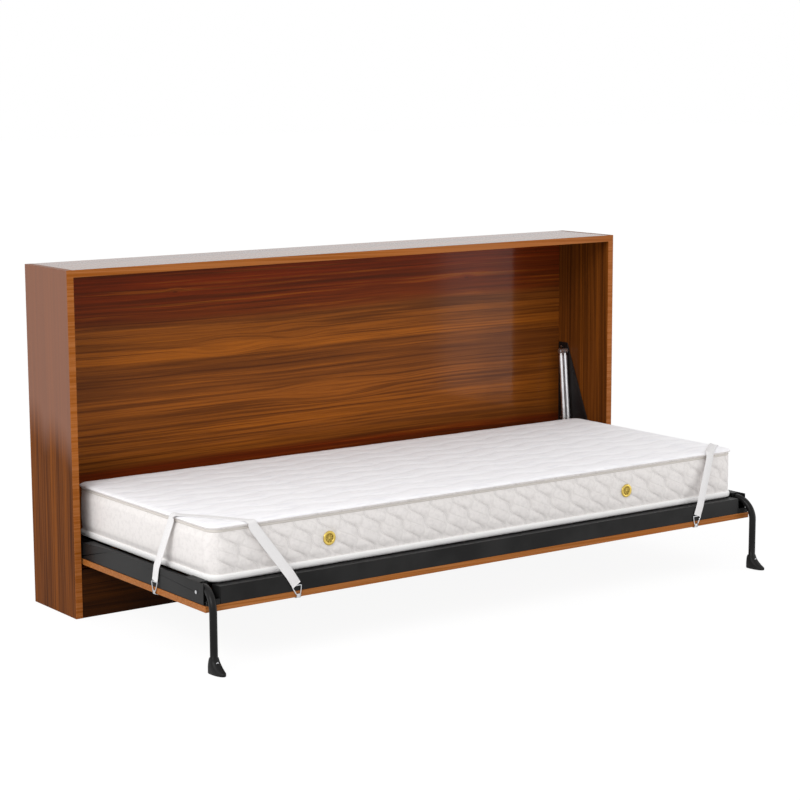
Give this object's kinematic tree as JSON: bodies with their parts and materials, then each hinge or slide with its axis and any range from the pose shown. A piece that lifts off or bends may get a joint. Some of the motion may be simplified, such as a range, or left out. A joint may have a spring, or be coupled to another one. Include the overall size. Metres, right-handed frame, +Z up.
{
  "type": "fold down wall bed",
  "caption": "Shallow wooden cabinet with a sprung steel bed frame and mattress that tips up sideways into it on hinges, gas struts and swing legs.",
  "frame": {"origin": "on the wall face at floor level, midway along the cabinet", "axes": "+X along the cabinet to the right as seen from the front, +Y into the wall, +Z up; the bed opens towards -Y"},
  "size_m": [2.13, 1.072, 1.05],
  "materials": {
    "walnut_laminate": "satin walnut-grain laminate",
    "edge_band": "lighter edge banding",
    "black_steel": "black powder coat",
    "zinc_steel": "bright zinc",
    "chrome_tube": "polished",
    "black_plastic": "fine moulded texture",
    "bronze_bush": "sintered bronze",
    "brass_vent": "polished brass",
    "beech": "plain plywood",
    "ticking": "white quilted ticking",
    "webbing": "white elastic webbing"
  },
  "bodies": {
    "cabinet": {"left_side_panel": "walnut_laminate", "right_side_panel": "walnut_laminate", "top_panel": "walnut_laminate", "back_panel": "walnut_laminate", "kick_panel": "walnut_laminate", "cabinet_edge_bands": "edge_band", "cabinet_dowels": "beech", "wall_fixing_caps": "walnut_laminate", "left_hinge_plate": "black_steel", "right_hinge_plate": "black_steel", "hinge_plate_screws": "zinc_steel", "left_pivot_bolt": "zinc_steel", "right_pivot_bolt": "zinc_steel", "pivot_nuts": "zinc_steel", "left_strut_top_pin": "zinc_steel", "right_strut_top_pin": "zinc_steel"},
    "bed": {"bed_panel": "walnut_laminate", "bed_panel_edge_bands": "edge_band", "panel_screws": "zinc_steel", "front_rail": "black_steel", "rail_end_caps": "black_plastic", "rear_rail": "black_steel", "left_end_rail": "black_steel", "right_end_rail": "black_steel", "left_corner_gusset": "black_steel", "right_corner_gusset": "black_steel", "left_hinge_arm": "black_steel", "right_hinge_arm": "black_steel", "left_hinge_block": "black_steel", "right_hinge_block": "black_steel", "hinge_bushes": "bronze_bush", "cross_bars": "black_steel", "slats": "beech", "slat_holders": "black_plastic", "left_leg_bearing": "black_plastic", "right_leg_bearing": "black_plastic", "bearing_screws": "zinc_steel", "mattress": "ticking", "mattress_vents": "brass_vent", "left_corner_strap": "webbing", "right_corner_strap": "webbing", "left_strap_hooks": "zinc_steel", "right_strap_hooks": "zinc_steel"},
    "left_leg": {"left_leg_tube": "black_steel", "left_leg_boot": "black_plastic", "left_leg_pin": "zinc_steel", "left_boot_rivet": "zinc_steel"},
    "right_leg": {"right_leg_tube": "black_steel", "right_leg_boot": "black_plastic", "right_leg_pin": "zinc_steel", "right_boot_rivet": "zinc_steel"},
    "left_strut_barrel": {"left_strut_tubes": "chrome_tube", "left_strut_guides": "black_plastic"},
    "right_strut_barrel": {"right_strut_tubes": "chrome_tube", "right_strut_guides": "black_plastic"},
    "left_strut_rod": {"left_strut_rods": "chrome_tube", "left_strut_lower_pin": "zinc_steel"},
    "right_strut_rod": {"right_strut_rods": "chrome_tube", "right_strut_lower_pin": "zinc_steel"}
  },
  "joints": [
    {"name": "bed_fold", "type": "hinge", "parent": "cabinet", "child": "bed", "pos_m": [0, -0.242, 0.193], "axis": [-1, 0, 0], "range_deg": [0, 90]},
    {"name": "left_leg_fold", "type": "hinge", "parent": "bed", "child": "left_leg", "pos_m": [-1.0205, -0.9, 0.228], "axis": [0, -1, 0], "range_deg": [0, 90]},
    {"name": "right_leg_fold", "type": "hinge", "parent": "bed", "child": "right_leg", "pos_m": [1.0205, -0.9, 0.228], "axis": [0, 1, 0], "range_deg": [0, 90]},
    {"name": "left_strut_swing", "type": "hinge", "parent": "cabinet", "child": "left_strut_barrel", "pos_m": [-1.0203, -0.06, 0.621], "axis": [-1, 0, 0], "range_deg": [0, 11.3]},
    {"name": "left_strut_slide", "type": "slide", "parent": "left_strut_barrel", "child": "left_strut_rod", "axis": [0, -0.089, -0.996], "range_m": [0, 0.182]},
    {"name": "right_strut_swing", "type": "hinge", "parent": "cabinet", "child": "right_strut_barrel", "pos_m": [1.0203, -0.06, 0.621], "axis": [-1, 0, 0], "range_deg": [0, 11.3]},
    {"name": "right_strut_slide", "type": "slide", "parent": "right_strut_barrel", "child": "right_strut_rod", "axis": [0, -0.089, -0.996], "range_m": [0, 0.182]}
  ],
  "couplings": [
    {"joint": "left_strut_swing", "follows": "bed_fold", "ratio": 0.12482},
    {"joint": "left_strut_slide", "follows": "bed_fold", "m_per_rad": 0.11553},
    {"joint": "right_strut_swing", "follows": "bed_fold", "ratio": 0.12482},
    {"joint": "right_strut_slide", "follows": "bed_fold", "m_per_rad": 0.11553}
  ]
}
